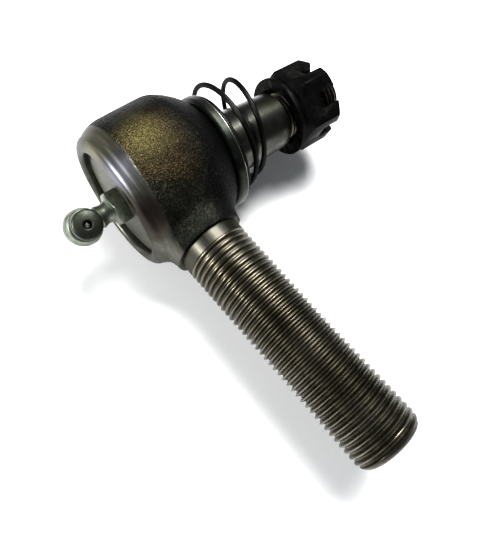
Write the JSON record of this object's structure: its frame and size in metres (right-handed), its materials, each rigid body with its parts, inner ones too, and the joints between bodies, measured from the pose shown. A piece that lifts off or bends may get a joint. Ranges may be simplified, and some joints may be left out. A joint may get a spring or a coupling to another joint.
{
  "type": "tie rod end",
  "caption": "Steering tie rod end: forged ball housing on a threaded shank, tapered ball stud with slotted nut, spring-loaded dust cover and angled grease fitting.",
  "frame": {"origin": "centre of the ball joint, where the shank axis, the socket axis and the stud axis cross", "axes": "+X along the shank to its threaded end, +Y along the socket axis to the stud side, +Z square to both"},
  "size_m": [0.096, 0.0799, 0.0368],
  "materials": {
    "forged_steel": "oiled forging with heat tints, bright at the machined lip and threads",
    "ground_steel": "ground",
    "bearing_steel": "ground",
    "sintered_iron": "matt",
    "spring_steel": "black oxide",
    "plate_steel": "matt phosphate",
    "zinc_plate": "zinc plated",
    "pan_steel": "pressed sheet, bright edge",
    "seal_rubber": "matt",
    "nut_black": "black oxide"
  },
  "bodies": {
    "housing": {"housing": "forged_steel", "bearing_race": "bearing_steel", "cover_plate": "plate_steel", "preload_spring": "spring_steel", "grease_elbow": "zinc_plate", "grease_nipple": "zinc_plate", "check_ball_spring": "spring_steel"},
    "seat": {"pressure_seat": "sintered_iron"},
    "half_ball": {"half_ball_bearing": "bearing_steel"},
    "stud": {"ball_stud": "ground_steel"},
    "dust_cover": {"dust_seal": "seal_rubber", "dust_cover": "pan_steel", "dust_cover_spring": "spring_steel"},
    "nut": {"slotted_nut": "nut_black"},
    "check_ball": {"check_ball": "bearing_steel"}
  },
  "joints": [
    {"name": "seat_turn", "type": "hinge", "parent": "housing", "child": "seat", "pos_m": [0, 0, 0], "axis": [0, 1, 0], "continuous": true},
    {"name": "stud_tilt", "type": "hinge", "parent": "seat", "child": "half_ball", "pos_m": [0, 0, 0], "axis": [0, 0, -1], "range_deg": [-16.5, 9.5]},
    {"name": "stud_spin", "type": "hinge", "parent": "half_ball", "child": "stud", "pos_m": [0, 0, 0], "axis": [0.061, 0.9981, 0], "continuous": true},
    {"name": "dust_cover_slide", "type": "slide", "parent": "stud", "child": "dust_cover", "axis": [0.061, 0.9981, -0.0087], "range_m": [0, 0.005]},
    {"name": "nut_turn", "type": "hinge", "parent": "stud", "child": "nut", "pos_m": [0, 0, 0], "axis": [0.061, 0.9981, 0], "continuous": true},
    {"name": "check_ball_slide", "type": "slide", "parent": "housing", "child": "check_ball", "axis": [-0.5299, 0, -0.848], "range_m": [0, 0.0006], "stiffness_N_per_m": 300, "springref_m": -0.001, "deforming": ["check_ball_spring"]}
  ]
}
